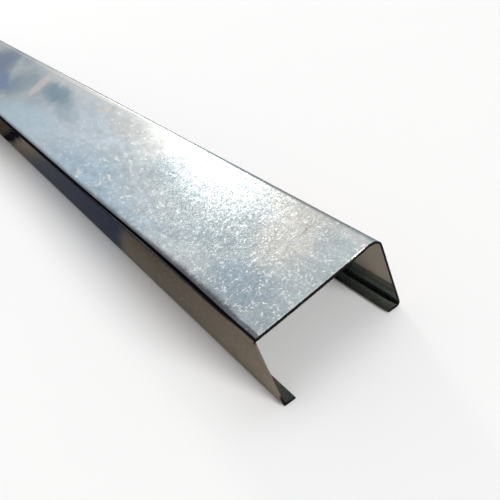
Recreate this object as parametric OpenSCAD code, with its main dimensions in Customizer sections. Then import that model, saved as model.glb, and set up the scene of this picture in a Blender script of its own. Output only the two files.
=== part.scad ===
// Lipped C-stud for a framed partition: one length of cold-rolled galvanised sheet.
//
// The stud lies on its two lips with its web on top.  The origin is the middle of the
// footprint: X runs along the stud, Y across the web and Z up, from the underside of the lips.

/* [Section] */
// Width across the web, from outside to outside of the flanges
web_width = 75; // [50:1:150]
// Depth of the flanges, from the top of the web to the underside of the lips
flange_depth = 45; // [30:1:75]
// Width of each lip, from the outside of its flange to its free edge
lip_width = 7.5; // [5:0.5:15]
// Thickness of the sheet
sheet_thickness = 1; // [0.4:0.1:1.5]
// Outside radius of each of the four bends
bend_radius = 2; // [1.6:0.1:4.5]

/* [Length] */
// Length that the stud is sold in
stud_length = 2400; // [600:100:6000]

/* [Hidden] */
$fn = 96;

galvanised_zinc = [0.70, 0.73, 0.76];

// Half-widths, measured from the middle plane of the stud
half_web = web_width / 2;
// Where the straight run of a sheet strip starts, from the sharp corner of the section
bend_reach = bend_radius;
web_flat = web_width - 2 * bend_reach;
flange_flat = flange_depth - 2 * bend_reach;
lip_flat = lip_width - bend_reach;

// A quarter ring of sheet around the origin, which fills the quadrant of +X and +Y.
module bend_arc() {
    intersection() {
        difference() {
            circle(r = bend_radius);
            circle(r = bend_radius - sheet_thickness);
        }
        square(bend_radius);
    }
}

// One flange with the bend above it, the bend below it and its lip, on the +X side.
// The section is drawn with X across the web and Y up from the underside of the lips.
module flange_and_lip() {
    translate([half_web - bend_reach, flange_depth - bend_reach])
        bend_arc();
    translate([half_web - sheet_thickness, bend_reach])
        square([sheet_thickness, flange_flat]);
    translate([half_web - bend_reach, bend_reach])
        rotate(-90)
            bend_arc();
    translate([half_web - lip_width, 0])
        square([lip_flat, sheet_thickness]);
}

// The whole section: the web, and a flange with its lip on each side.
module stud_section() {
    translate([-web_flat / 2, flange_depth - sheet_thickness])
        square([web_flat, sheet_thickness]);
    flange_and_lip();
    mirror([1, 0])
        flange_and_lip();
}

// The stud: its section run along X, square cut at both ends.
module c_stud() {
    color(galvanised_zinc)
        translate([-stud_length / 2, 0, 0])
            rotate([90, 0, 90])
                linear_extrude(height = stud_length)
                    stud_section();
}

c_stud();
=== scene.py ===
"""Looks of a lipped C-stud: a strip of galvanised sheet, cold-rolled to shape and cut square at both ends.

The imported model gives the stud's box.  The sheet is swept here from its section with Geometry Nodes, so
that its bends are round, its ends are sheared and its web and flanges are as slack as thin sheet is.
"""

import logging
import math
from dataclasses import dataclass, field
from enum import Enum
from typing import Any

import bmesh
import bpy
from mathutils import Matrix, Vector


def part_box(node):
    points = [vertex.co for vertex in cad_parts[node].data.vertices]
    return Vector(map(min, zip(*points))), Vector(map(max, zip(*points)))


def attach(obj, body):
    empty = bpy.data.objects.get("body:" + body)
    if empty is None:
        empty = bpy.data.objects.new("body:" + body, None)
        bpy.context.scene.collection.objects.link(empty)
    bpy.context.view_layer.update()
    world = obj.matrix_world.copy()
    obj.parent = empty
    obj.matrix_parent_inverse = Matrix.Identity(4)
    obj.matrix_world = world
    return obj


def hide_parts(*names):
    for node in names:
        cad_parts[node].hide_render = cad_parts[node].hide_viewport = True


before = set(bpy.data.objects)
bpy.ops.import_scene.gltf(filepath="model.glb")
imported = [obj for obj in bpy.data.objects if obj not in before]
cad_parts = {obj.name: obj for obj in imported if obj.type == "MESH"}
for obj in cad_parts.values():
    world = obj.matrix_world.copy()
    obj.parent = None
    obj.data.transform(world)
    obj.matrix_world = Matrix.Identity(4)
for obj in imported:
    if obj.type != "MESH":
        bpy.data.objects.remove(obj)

LOG = logging.getLogger("stud")
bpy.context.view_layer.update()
MM = 0.001
QUARTER = math.pi / 2

Socket = bpy.types.NodeSocket
Node = bpy.types.Node
Colour = tuple[float, float, float]

BLACK: Colour = (0.0, 0.0, 0.0)
MIDDLE: Colour = (0.5, 0.5, 0.5)


@dataclass(frozen=True)
class Ramp:
    """A number that eases from one size to another between two places.

    Attributes:
        start: Where it starts to change.
        end: Where it has changed.
        before: Its size at the start.
        after: Its size at the end.
    """

    start: float
    end: float
    before: float = 0.0
    after: float = 1.0


class Graph:
    """A small helper that adds and joins the nodes of one node tree."""

    def __init__(self, tree: bpy.types.NodeTree) -> None:
        """Keeps the tree and empties it.

        Args:
            tree: The node tree to fill.
        """
        self.tree = tree
        tree.nodes.clear()

    def node(self, kind: str, inputs: dict[Any, Any] | None = None, **settings: Any) -> Node:
        """Adds a node, sets it up and feeds its inputs.

        Args:
            kind: The node's type name.
            inputs: What each input gets: a value, or a socket to link from.
            **settings: Properties of the node itself.

        Returns:
            The new node.
        """
        made = self.tree.nodes.new(kind)
        for name, value in settings.items():
            setattr(made, name, value)
        for name, value in (inputs or {}).items():
            self.feed(made.inputs[name], value)
        return made

    def feed(self, target: Socket, value: Any) -> None:
        """Links a socket to an input, or sets the input's own value.

        Args:
            target: The input socket.
            value: A socket to link from, or a plain value.
        """
        if isinstance(value, bpy.types.NodeSocket):
            self.tree.links.new(value, target)
        elif target.type == "RGBA":
            target.default_value = (*value, 1.0)
        else:
            target.default_value = value

    def math(self, operation: str, *values: Any) -> Socket:
        """Adds a Math node.

        Args:
            operation: The Math node's operation.
            *values: Its inputs, in order.

        Returns:
            The node's output socket.
        """
        return self.node("ShaderNodeMath", dict(enumerate(values)), operation=operation).outputs[0]

    def vector(self, operation: str, *values: Any) -> Socket:
        """Adds a Vector Math node.

        Args:
            operation: The Vector Math node's operation.
            *values: Its inputs, in order.  SCALE takes a vector and a number.

        Returns:
            The node's vector output, or its number for a length.
        """
        made = self.node("ShaderNodeVectorMath", operation=operation)
        slots = [0, 3] if operation == "SCALE" else range(len(values))
        for slot, value in zip(slots, values):
            self.feed(made.inputs[slot], value)
        return made.outputs[1 if operation == "LENGTH" else 0]

    def combine(self, x: Any = 0.0, y: Any = 0.0, z: Any = 0.0) -> Socket:
        """Returns a vector made of three numbers."""
        return self.node("ShaderNodeCombineXYZ", {0: x, 1: y, 2: z}).outputs[0]

    def split(self, vector: Socket) -> list[Socket]:
        """Returns a vector's three parts."""
        return list(self.node("ShaderNodeSeparateXYZ", {0: vector}).outputs)

    def chain(self, operation: str, values: tuple[Any, ...]) -> Any:
        """Takes any number of values through one operation, from the first to the last.

        Args:
            operation: The Math node's operation.
            values: Sockets or plain numbers.

        Returns:
            The result.
        """
        total = values[0]
        for value in values[1:]:
            total = self.math(operation, total, value)
        return total

    def product(self, *factors: Any) -> Any:
        """Returns the product of any number of values."""
        return self.chain("MULTIPLY", factors)

    def sum(self, *terms: Any) -> Any:
        """Returns the sum of any number of values."""
        return self.chain("ADD", terms)

    def most(self, *values: Any) -> Any:
        """Returns the largest of any number of values."""
        return self.chain("MAXIMUM", values)

    def minus(self, value: Any, taken: Any) -> Socket:
        """Returns one value less another."""
        return self.math("SUBTRACT", value, taken)

    def rest(self, share: Any) -> Socket:
        """Returns what is left of 1."""
        return self.minus(1.0, share)

    def remap(self, value: Any, lo: Any, hi: Any, to_lo: Any = 0.0, to_hi: Any = 1.0,
              curve: str = "SMOOTHSTEP") -> Socket:
        """Adds a Map Range node that holds its result inside the new range.

        Args:
            value: The number to map.
            lo: Where the old range starts.
            hi: Where the old range ends.
            to_lo: What the start becomes.
            to_hi: What the end becomes.
            curve: The interpolation type.

        Returns:
            The mapped number.
        """
        inputs = {0: value, 1: lo, 2: hi, 3: to_lo, 4: to_hi}
        return self.node("ShaderNodeMapRange", inputs, interpolation_type=curve).outputs[0]

    def ramp(self, value: Any, *ramps: Ramp) -> Socket:
        """Returns the product of what some ramps give for a value."""
        return self.product(*(self.remap(value, r.start, r.end, r.before, r.after) for r in ramps))

    def between(self, share: Any, none: Any, full: Any) -> Socket:
        """Returns one number where a share is 0 and another where it is 1, and evenly between them."""
        return self.remap(share, 0.0, 1.0, none, full, "LINEAR")

    def mix(self, share: Any, one: Any, other: Any) -> Socket:
        """Mixes two colours.

        Args:
            share: How much of the other colour shows.
            one: The first colour.
            other: The other colour.

        Returns:
            The mixed colour.
        """
        inputs = {"Factor": share, 6: one, 7: other}
        return self.node("ShaderNodeMix", inputs, data_type="RGBA").outputs[2]

    def profile(self, value: Socket, points: tuple[tuple[float, float], ...], reach: float) -> Socket:
        """Adds a Float Curve node that passes through given points.

        Args:
            value: The number to look up, from 0 to 1.
            points: Where the curve passes, from 0 to 1 along it, in order.
            reach: The largest size, up or down, that the curve can hold.

        Returns:
            The curve's height at the value.
        """
        made = self.node("ShaderNodeFloatCurve", {"Value": value})
        curve = made.mapping.curves[0]
        heights = [(x, 0.5 + 0.5 * y / reach) for x, y in points]
        curve.points[0].location, curve.points[1].location = heights[0], heights[-1]
        for spot in heights[1:-1]:
            curve.points.new(*spot)
        for point in curve.points:
            point.handle_type = "AUTO_CLAMPED"
        made.mapping.update()
        return self.between(made.outputs[0], -reach, reach)


@dataclass(frozen=True)
class Station:
    """One place along the section's mid-line.

    Attributes:
        y: Across the stud.
        z: Up from the underside of the lips.
        normal: The direction out of the sheet's outer skin, as (y, z).
        girth: The developed distance from the middle of the web, positive on the back side.
        fold: 0 on the web, 1 past the upper bend.
        tuck: 0 above the lower bend, 1 on the lip.
    """

    y: float
    z: float
    normal: tuple[float, float]
    girth: float
    fold: float
    tuck: float

    def mirrored(self) -> "Station":
        """Returns the same place on the other side of the stud."""
        ny, nz = self.normal
        return Station(-self.y, self.z, (-ny, nz), -self.girth, self.fold, self.tuck)


@dataclass(frozen=True)
class Side:
    """Sizes of one side of the section, in metres.

    Attributes:
        bend_radius: Outside radius of the upper bend.
        lip_bend_radius: Outside radius of the bend that turns the lip in.
        lip_width: From the outside of the flange to the lip's free edge.
    """

    bend_radius: float
    lip_bend_radius: float
    lip_width: float


@dataclass(frozen=True)
class StudSection:
    """Sizes of the rolled section, in metres, and the fineness of its mesh.

    Attributes:
        web_width: Across the web, outside to outside.
        flange_depth: From the top of the web to the underside of the lips.
        front: The side at -Y, whose upper bend the rolls pressed sharper.
        back: The side at +Y.
        sheet: Thickness of the sheet.
        guard: How close to a bend a flat's last station stands.
        arc_steps: Steps round a bend.
        web_half_steps: Steps from the middle of the web to a bend.
        flange_steps: Steps down a flange.
        lip_steps: Steps along a lip.
    """

    web_width: float
    flange_depth: float
    front: Side = Side(1.3 * MM, 1.3 * MM, 6.8 * MM)
    back: Side = Side(3.0 * MM, 2.6 * MM, 7.6 * MM)
    sheet: float = 1.0 * MM
    guard: float = 0.35 * MM
    arc_steps: int = 10
    web_half_steps: int = 24
    flange_steps: int = 14
    lip_steps: int = 4

    def bend_start(self, side: Side) -> float:
        """Returns how far from the middle of the web a side's upper bend starts."""
        return self.web_width / 2 - side.bend_radius

    def flange_end(self, side: Side) -> float:
        """Returns how far, developed, a side's lower bend starts from the middle of the web.

        Args:
            side: The side's sizes.

        Returns:
            The distance.
        """
        upper = (side.bend_radius - self.sheet / 2) * QUARTER
        flat = self.flange_depth - side.bend_radius - side.lip_bend_radius
        return self.bend_start(side) + upper + flat

    def crease(self, side: Side) -> float:
        """Returns how far, developed, a side's lower bend has its middle from the middle of the web."""
        return self.flange_end(side) + (side.lip_bend_radius - self.sheet / 2) * QUARTER / 2

    def half(self, side: Side) -> list[Station]:
        """Lists the stations from the middle of the web to one lip's free edge, as if on the back side.

        Args:
            side: The side's sizes.

        Returns:
            The stations, in order along the sheet.
        """
        y_arc = self.bend_start(side)
        z_top = self.flange_depth - side.bend_radius
        z_low = side.lip_bend_radius
        y_low = self.web_width / 2 - side.lip_bend_radius
        mid, mid_low = (radius - self.sheet / 2 for radius in (side.bend_radius, side.lip_bend_radius))
        out = [Station(s, self.flange_depth - self.sheet / 2, (0.0, 1.0), s, 0.0, 0.0)
               for s in self.flat(y_arc, self.web_half_steps, both_ends=False)]
        out += [Station(y_arc + mid * n[0], z_top + mid * n[1], n, y_arc + mid * QUARTER * t, t, 0.0)
                for t, n in self.arc(QUARTER)]
        past = y_arc + mid * QUARTER
        out += [Station(y_arc + mid, z_top - s, (1.0, 0.0), past + s, 1.0, 0.0)
                for s in self.flat(z_top - z_low, self.flange_steps)[1:-1]]
        past = self.flange_end(side)
        out += [Station(y_low + mid_low * n[0], z_low + mid_low * n[1], n,
                        past + mid_low * QUARTER * t, 1.0, t) for t, n in self.arc(0.0)]
        past += mid_low * QUARTER
        out += [Station(y_low - s, self.sheet / 2, (0.0, -1.0), past + s, 1.0, 1.0)
                for s in self.flat(side.lip_width - side.lip_bend_radius, self.lip_steps)[1:]]
        return out

    def arc(self, start: float) -> list[tuple[float, tuple[float, float]]]:
        """Spaces the stations of a quarter bend.

        Args:
            start: The direction that the bend's outside faces first, in radians up from +Y.

        Returns:
            The share of the bend that lies behind each station, and the direction it faces.
        """
        shares = [i / self.arc_steps for i in range(self.arc_steps + 1)]
        return [(t, (math.cos(start - QUARTER * t), math.sin(start - QUARTER * t))) for t in shares]

    def flat(self, length: float, steps: int, both_ends: bool = True) -> list[float]:
        """Spaces the stations of a flat stretch, with one close to each bend so that the flat shades flat.

        Args:
            length: The stretch's length.
            steps: How many even steps it has.
            both_ends: Whether a bend is at the start too.

        Returns:
            Distances from the start, the end left out where no bend is at the start.
        """
        even = [length * i / steps for i in range(steps + 1)]
        near = [length - self.guard] + ([self.guard] if both_ends else [])
        places = sorted(even + near)
        return places if both_ends else places[:-1]

    def stations(self) -> list[Station]:
        """Lists every station, from the front lip's free edge to the back one's."""
        return [s.mirrored() for s in reversed(self.half(self.front)[1:])] + self.half(self.back)

    def slice(self, name: str) -> bpy.types.Object:
        """Makes the section as a flat strip of faces at x = 0, which the sweep starts from.

        Args:
            name: The new object's name.

        Returns:
            A mesh object whose points carry girth, fold, tuck and skin.
        """
        points = [(s, skin) for s in self.stations() for skin in (1.0, -1.0)]
        half = self.sheet / 2
        verts = [(0.0, s.y + skin * half * s.normal[0], s.z + skin * half * s.normal[1])
                 for s, skin in points]
        values = {key: [getattr(s, key) for s, _ in points] for key in ("girth", "fold", "tuck")}
        values["skin"] = [skin for _, skin in points]
        faces = [(i, i + 1, i + 3, i + 2) for i in range(0, len(points) - 2, 2)]
        mesh = bpy.data.meshes.new(name)
        mesh.from_pydata(verts, [], faces)
        for key, column in values.items():
            mesh.attributes.new(key, "FLOAT", "POINT").data.foreach_set("value", column)
        made = bpy.data.objects.new(name, mesh)
        bpy.context.scene.collection.objects.link(made)
        return made


@dataclass(frozen=True)
class SheetSlack:
    """How far the thin sheet strays from its nominal shape, in metres and degrees.

    Attributes:
        front_lean: How far the front flange is sprung outwards at the cut ends.
        back_lean: The same for the back flange.
        lip_sag: How far the front lip is from square with its sprung flange, in degrees.
        lean_run: How far along the stud the spring dies away.
        web_wave: Height of the slow waves in the web.
        flange_wave: Depth of the slow waves in the flanges.
        wave_length: Length of those waves.
        end_bump: Height of the curl that the shear left by the back corner of the end.
        bump_centre: How far the curl's middle is from the web's, as a share of the web's width.
        bump_width: How far it reaches to either side, as a share of that width.
        end_reach: How far in from the end the curl reaches.
        cut_rag: How far the cut line strays from a straight one.
        front_line: How far the cut stands out along the stud on the front side, at shares of the way
            from the middle of the web to the lip's free edge.
        back_line: The same on the back side.
        line_reach: How far in from the end that is made up.
    """

    front_lean: float = 3.3
    back_lean: float = 0.0
    lip_sag: float = 2.0
    lean_run: float = 2.4
    web_wave: float = 0.22 * MM
    flange_wave: float = 0.35 * MM
    wave_length: float = 0.16
    end_bump: float = 0.32 * MM
    bump_centre: float = 0.345
    bump_width: float = 0.12
    end_reach: float = 1.95 * MM
    cut_rag: float = 0.12 * MM
    front_line: tuple[tuple[float, float], ...] = (
        (0.0, 0.0), (0.25, -0.1 * MM), (0.43, -0.25 * MM), (0.79, 0.0), (0.93, 1.0 * MM), (1.0, 1.6 * MM))
    back_line: tuple[tuple[float, float], ...] = (
        (0.0, 0.0), (0.32, 0.0), (0.36, -0.25 * MM), (0.385, 0.1 * MM), (0.405, 0.6 * MM),
        (0.423, 1.2 * MM), (0.445, 1.25 * MM), (0.67, 0.95 * MM), (0.918, 0.6 * MM), (1.0, -0.25 * MM))
    line_reach: float = 30.0 * MM


class SheetSweep:
    """The Geometry Nodes tree that runs the section along the stud and lets the sheet go slack.

    Attributes:
        INPUTS: The tree's inputs beside its geometry.
        KINDS: The socket types of the inputs that aren't plain numbers.
        LARGEST_STRAY: The farthest that a cut line can stand out, in metres.
        WELD: How close two points are before they become one, in metres.
        WAVES_ACROSS: How fast the slow waves change across the section, per metre.
        LEVEL_SHARE: The share of the web's half-width over which its waves keep their height.
        FLANGE_SHARE: How much of the flange's wave there is at its bottom.
        RAG: How fine the rag of the cut line is, per metre.
        RAG_APART: How far apart in the noise the two ends' rags lie.
    """

    INPUTS: tuple[str, ...] = (
        "Length", "Stations", "End Crowding", "Pivot Y", "Pivot Z", "Front Lean", "Back Lean",
        "Lip Pivot Y", "Lip Pivot Z", "Lip Sag", "Lean Run", "Web Wave", "Flange Wave", "Wave Length",
        "End Bump", "Bump Centre", "Bump Width", "End Reach", "Cut Rag", "Sheet Half", "Line Reach",
        "Material")
    KINDS: dict[str, str] = {"Stations": "NodeSocketInt", "Material": "NodeSocketMaterial"}
    LARGEST_STRAY: float = 2.0 * MM
    WELD: float = 0.002 * MM
    WAVES_ACROSS: float = 14.0
    LEVEL_SHARE: float = 0.3
    FLANGE_SHARE: float = 0.6
    RAG: float = 160.0
    RAG_APART: float = 3.0

    def __init__(self, name: str, slack: SheetSlack) -> None:
        """Builds the tree.

        Args:
            name: The node group's name.
            slack: How far the sheet strays, for the shape of its cut line.
        """
        self.slack = slack
        self.tree = bpy.data.node_groups.new(name, "GeometryNodeTree")
        face = self.tree.interface
        face.new_socket("Geometry", in_out="INPUT", socket_type="NodeSocketGeometry")
        for label in self.INPUTS:
            face.new_socket(label, in_out="INPUT", socket_type=self.KINDS.get(label, "NodeSocketFloat"))
        face.new_socket("Geometry", in_out="OUTPUT", socket_type="NodeSocketGeometry")
        g = self.g = Graph(self.tree)
        self.given = g.node("NodeGroupInput").outputs
        self.position = g.node("GeometryNodeInputPosition").outputs[0]
        self.x, self.y, self.z = g.split(self.position)
        self.half = g.product(self.given["Length"], 0.5)
        self.from_end = g.minus(self.half, g.math("ABSOLUTE", self.x))
        self.fold = self.attribute("fold")
        sprung = self.sprung_flanges(self.measured(self.closed_sweep()))
        self.finish(self.sheared_ends(self.slow_waves(sprung)))

    def changed(self, kind: str, geometry: Socket, **inputs: Any) -> Socket:
        """Passes a geometry through a node.

        Args:
            kind: The node's type name, without its first word.
            geometry: What goes in.
            **inputs: The node's other inputs.

        Returns:
            The changed geometry.
        """
        return self.g.node("GeometryNode" + kind, {0: geometry, **inputs}).outputs[0]

    def attribute(self, name: str) -> Socket:
        """Reads one of the section's point attributes as a field."""
        made = self.g.node("GeometryNodeInputNamedAttribute", {"Name": name}, data_type="FLOAT")
        return made.outputs["Attribute"]

    def closed_sweep(self) -> Socket:
        """Runs the section's outline from end to end and closes both ends with the section itself.

        Returns:
            The closed shell of the sheet.
        """
        g, half, slice_in = self.g, self.half, self.given["Geometry"]
        low = g.product(half, -1.0)
        rim = g.math("COMPARE", g.node("GeometryNodeInputMeshEdgeNeighbors").outputs[0], 1.0, 0.1)
        outline = self.changed("MeshToCurve", slice_in, Selection=rim)
        flat = self.changed("Transform", outline, Rotation=(QUARTER, -QUARTER, 0.0))
        line = g.node("GeometryNodeCurvePrimitiveLine",
                      {"Start": g.combine(low), "End": g.combine(half)}).outputs[0]
        path = self.changed("ResampleCurve", line, Count=self.given["Stations"])
        share = g.math("DIVIDE", self.x, half)
        inner = g.rest(g.math("ABSOLUTE", share))
        eased = g.rest(g.math("POWER", inner, self.given["End Crowding"]))
        new_x = g.product(g.math("SIGN", share), eased, half)
        crowded = self.changed("SetPosition", path, Position=g.combine(new_x))
        level = g.node("GeometryNodeSetCurveNormal", {"Curve": crowded}, mode="Z_UP").outputs[0]
        sides = self.changed("CurveToMesh", level, **{"Profile Curve": flat})
        joined = g.node("GeometryNodeJoinGeometry")
        for end in (half, low):
            g.feed(joined.inputs[0], self.changed("Transform", slice_in, Translation=g.combine(end)))
        g.feed(joined.inputs[0], sides)
        return self.changed("MergeByDistance", joined.outputs[0], Distance=self.WELD)

    def measured(self, geometry: Socket) -> Socket:
        """Keeps each point's distance from the closest cut end on the mesh, as the attribute run."""
        return self.changed("StoreNamedAttribute", geometry, Name="run", Value=self.from_end)

    def sprung_flanges(self, geometry: Socket) -> Socket:
        """Turns each flange, with its lip, outwards about its upper bend, most at the cut ends.

        Args:
            geometry: The straight shell.

        Returns:
            The shell with sprung flanges.
        """
        g = self.g
        fade = g.remap(self.from_end, 0.0, self.given["Lean Run"], 1.0, 0.0)
        front = g.math("LESS_THAN", self.y, 0.0)
        sag = g.product(self.given["Lip Sag"], front, fade, self.attribute("tuck"), -1.0)
        level = self.turned(geometry, sag, "Lip Pivot")
        lean = g.sum(g.product(self.given["Front Lean"], front),
                     g.product(self.given["Back Lean"], g.rest(front)))
        return self.turned(level, g.product(lean, fade, self.fold), "Pivot")

    def turned(self, geometry: Socket, degrees: Socket, pivot: str) -> Socket:
        """Turns points outwards about a line that runs along the stud.

        Args:
            geometry: What to turn.
            degrees: How far each point turns.
            pivot: The name that the inputs for the line's two places start with.

        Returns:
            The turned geometry.
        """
        g = self.g
        side = g.math("SIGN", self.y)
        centre = g.combine(0.0, g.product(side, self.given[pivot + " Y"]), self.given[pivot + " Z"])
        angle = g.product(g.math("RADIANS", degrees), side)
        inputs = {"Vector": self.position, "Center": centre, "Angle": angle}
        spun = g.node("ShaderNodeVectorRotate", inputs, rotation_type="X_AXIS").outputs[0]
        return self.changed("SetPosition", geometry, Position=spun)

    def noise(self, vector: Socket, **inputs: float) -> Socket:
        """Returns a noise less its middle value."""
        made = self.g.node("ShaderNodeTexNoise", {"Vector": vector, "Scale": 1.0, **inputs})
        return self.g.minus(made.outputs[0], 0.5)

    def slow_waves(self, geometry: Socket) -> Socket:
        """Lets the web and the flanges wander a little between their bends, as thin sheet does.

        Args:
            geometry: The shell.

        Returns:
            The shell with slow waves.
        """
        g, edge = self.g, self.given["Pivot Y"]
        place = g.combine(g.math("DIVIDE", self.x, self.given["Wave Length"]),
                          g.product(self.y, self.WAVES_ACROSS), g.product(self.z, self.WAVES_ACROSS))
        swing = g.product(self.noise(place, Detail=1.0, Roughness=0.4), 2.0)
        across = g.remap(g.math("ABSOLUTE", self.y), g.product(edge, self.LEVEL_SHARE), edge, 1.0, 0.0)
        down = g.remap(self.z, 0.0, self.given["Pivot Z"], self.FLANGE_SHARE, 0.0)
        lift = g.product(swing, g.product(across, g.rest(self.fold)), self.given["Web Wave"])
        push = g.product(swing, g.product(down, self.fold), self.given["Flange Wave"])
        return self.changed("SetPosition", geometry, Offset=g.combine(0.0, push, lift))

    def sheared_ends(self, geometry: Socket) -> Socket:
        """Curls the web up by the back corner of each end and makes the cut line less than straight.

        Args:
            geometry: The shell.

        Returns:
            The shell with sheared ends.
        """
        g, given = self.g, self.given
        end = g.math("SIGN", self.x)
        near = g.math("POWER", g.remap(self.from_end, 0.0, given["End Reach"], 1.0, 0.0, "LINEAR"), 2.0)
        aside = g.math("DIVIDE", g.minus(self.y, given["Bump Centre"]), given["Bump Width"])
        hump = g.math("EXPONENT", g.product(aside, aside, -1.0))
        lift = g.product(near, hump, g.rest(self.fold), given["End Bump"])
        place = g.combine(g.product(end, self.RAG_APART),
                          g.product(self.y, self.RAG), g.product(self.z, self.RAG))
        inward = g.product(self.noise(place, Detail=2.0), given["Cut Rag"], near, 2.0)
        share = g.math("DIVIDE", g.math("ABSOLUTE", self.attribute("girth")), given["Sheet Half"])
        front, back = (g.profile(share, line, self.LARGEST_STRAY)
                       for line in (self.slack.front_line, self.slack.back_line))
        out = g.node("GeometryNodeSwitch",
                     {"Switch": g.math("GREATER_THAN", self.y, 0.0), "False": front, "True": back},
                     input_type="FLOAT").outputs[0]
        outward = g.product(end, out, g.remap(self.from_end, 0.0, given["Line Reach"], 1.0, 0.0))
        return self.changed("SetPosition", geometry, Offset=g.combine(g.sum(inward, outward), 0.0, lift))

    def finish(self, geometry: Socket) -> None:
        """Realizes the geometry, gives it its material and sends it out.

        Args:
            geometry: The finished shell.
        """
        real = self.changed("RealizeInstances", geometry)
        dressed = self.changed("SetMaterial", real, Material=self.given["Material"])
        self.g.node("NodeGroupOutput", {0: dressed})

    def apply(self, target: bpy.types.Object, values: dict[str, Any]) -> bpy.types.Modifier:
        """Puts the tree on an object with its inputs set.

        Args:
            target: The object that holds the section.
            values: What each named input gets.

        Returns:
            The modifier.
        """
        made = target.modifiers.new(self.tree.name, "NODES")
        made.node_group = self.tree
        for item in self.tree.interface.items_tree:
            if item.in_out == "INPUT" and item.name in values:
                made[item.identifier] = values[item.name]
        return made


@dataclass(frozen=True)
class TonePatch:
    """A cloudy patch of another tone on the web, painted to stand in for what the zinc mirrors:
    reflections of the surroundings, light and shade, and one highlight.

    Attributes:
        from_end: How far its middle is from the cut end at +X, in metres.
        across: How far its middle is from the web's centre line, towards +Y.
        half_length: Half its length along the stud.
        half_width: Half its width.
        slant: How far it leans, in degrees from the stud's own direction.
        colour: The colour painted there.
        strength: How much of that colour shows in the middle.
    """

    from_end: float
    across: float
    half_length: float
    half_width: float
    slant: float
    colour: Colour
    strength: float


# Painted reflections of the surroundings, painted light and painted shade on the web's zinc, and one
# painted highlight.
WEB_TONE_PATCHES: tuple[TonePatch, ...] = (
    TonePatch(0.300, -0.004, 0.110, 0.040, 0.0, (0.53, 0.61, 0.67), 0.85),
    TonePatch(0.220, -0.027, 0.110, 0.020, 0.0, (0.375, 0.49, 0.585), 0.75),
    TonePatch(0.230, 0.028, 0.080, 0.020, 0.0, (0.545, 0.54, 0.515), 0.6),
    TonePatch(0.150, -0.014, 0.055, 0.016, 0.0, (0.54, 0.565, 0.57), 0.35),
    TonePatch(0.400, -0.024, 0.085, 0.020, -4.0, (0.46, 0.60, 0.68), 0.80),
    TonePatch(0.385, 0.030, 0.110, 0.014, 0.0, (0.60, 0.64, 0.645), 0.75),
    TonePatch(0.515, -0.004, 0.055, 0.017, 0.0, (0.135, 0.215, 0.36), 0.9),
    TonePatch(0.393, 0.014, 0.046, 0.012, 5.0, (0.17, 0.28, 0.345), 0.85),
    TonePatch(0.345, 0.004, 0.036, 0.009, 5.0, (0.30, 0.39, 0.44), 0.6),
    TonePatch(0.480, 0.010, 0.034, 0.020, 0.0, (0.25, 0.345, 0.37), 0.65),
    TonePatch(0.442, 0.014, 0.026, 0.0105, 52.0, (0.62, 0.592, 0.545), 0.75),
    TonePatch(0.585, 0.010, 0.055, 0.030, 0.0, (0.105, 0.17, 0.265), 0.85),
    TonePatch(0.528, 0.016, 0.036, 0.008, 30.0, (0.41, 0.49, 0.48), 0.75),
    TonePatch(0.082, 0.006, 0.038, 0.015, 0.0, (0.37, 0.41, 0.425), 0.6),
    TonePatch(0.040, 0.014, 0.024, 0.022, 30.0, (0.62, 0.585, 0.535), 0.55),
    TonePatch(0.050, 0.033, 0.040, 0.012, 0.0, (0.50, 0.48, 0.44), 0.5),
    TonePatch(0.008, 0.032, 0.016, 0.006, 0.0, (0.60, 0.585, 0.555), 0.45),
    # A painted highlight by the back corner of the +X end.
    TonePatch(0.0032, 0.0302, 0.0006, 0.0019, 0.0, (0.97, 0.97, 0.96), 0.9),
    TonePatch(0.037, 0.023, 0.002, 0.006, 0.0, (0.27, 0.24, 0.20), 0.4),
    TonePatch(0.030, -0.022, 0.020, 0.014, 10.0, (0.28, 0.35, 0.41), 0.55),
    TonePatch(0.048, -0.018, 0.014, 0.009, 0.0, (0.29, 0.38, 0.47), 0.45),
    TonePatch(0.304, 0.024, 0.009, 0.0045, 0.0, (0.66, 0.62, 0.55), 0.45),
)


@dataclass(frozen=True)
class Band:
    """A slanted band across the front flange: a painted reflection of the surroundings, in another tone.

    Attributes:
        begins: Where it starts to show, in metres from the cut end at +X, along the top of the flange.
        full_from: Where it shows in full.
        full_to: Where it starts to fade.
        ends: Where it has gone.
        colour: The flange's colour there.
        tint: How it dims what the flange mirrors at a low angle.
        matt: How much less metallic it is, so that the painted dark reflection shows darker.
    """

    begins: float
    full_from: float
    full_to: float
    ends: float
    colour: Colour
    tint: Colour
    matt: float = 0.0


@dataclass(frozen=True)
class Needles:
    """One kind of bright stroke in the zinc: short needles that all lie one way.

    Attributes:
        turn: Their direction, in degrees from the stud's own.
        closeness: How close they lie, as a share of the finish's own spacing.
        shown: How much of them shows, by the distance from a cut end.
        floor: How much of them is left in the gaps between the clumps.
    """

    turn: float
    closeness: float
    shown: Ramp
    floor: float


NEEDLES: tuple[Needles, ...] = (
    Needles(8.0, 2.6, Ramp(0.09, 0.22, 1.0, 0.1), 0.0),
    Needles(64.0, 2.2, Ramp(0.09, 0.22, 1.0, 0.1), 0.0),
    Needles(-38.0, 2.4, Ramp(0.09, 0.22, 1.0, 0.1), 0.0),
    Needles(14.0, 1.0, Ramp(0.06, 0.14, 0.0, 0.85), 0.25),
    Needles(-44.0, 1.1, Ramp(0.06, 0.13, 0.0, 0.6), 0.25),
    Needles(6.0, 0.80, Ramp(0.12, 0.20, 0.0, 0.85), 0.2),
)

# Painted reflections on the front flange: a brown band and two dark ones.
FRONT_BANDS: tuple[Band, ...] = (
    Band(0.285, 0.350, 0.470, 0.560, (0.285, 0.250, 0.210), (0.29, 0.25, 0.21)),
    Band(0.375, 0.425, 0.475, 0.540, (0.058, 0.030, 0.019), (0.035, 0.02, 0.013), 0.62),
    Band(0.361, 0.385, 0.396, 0.424, (0.006, 0.004, 0.008), (0.0, 0.0, 0.0), 0.92),
)


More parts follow.
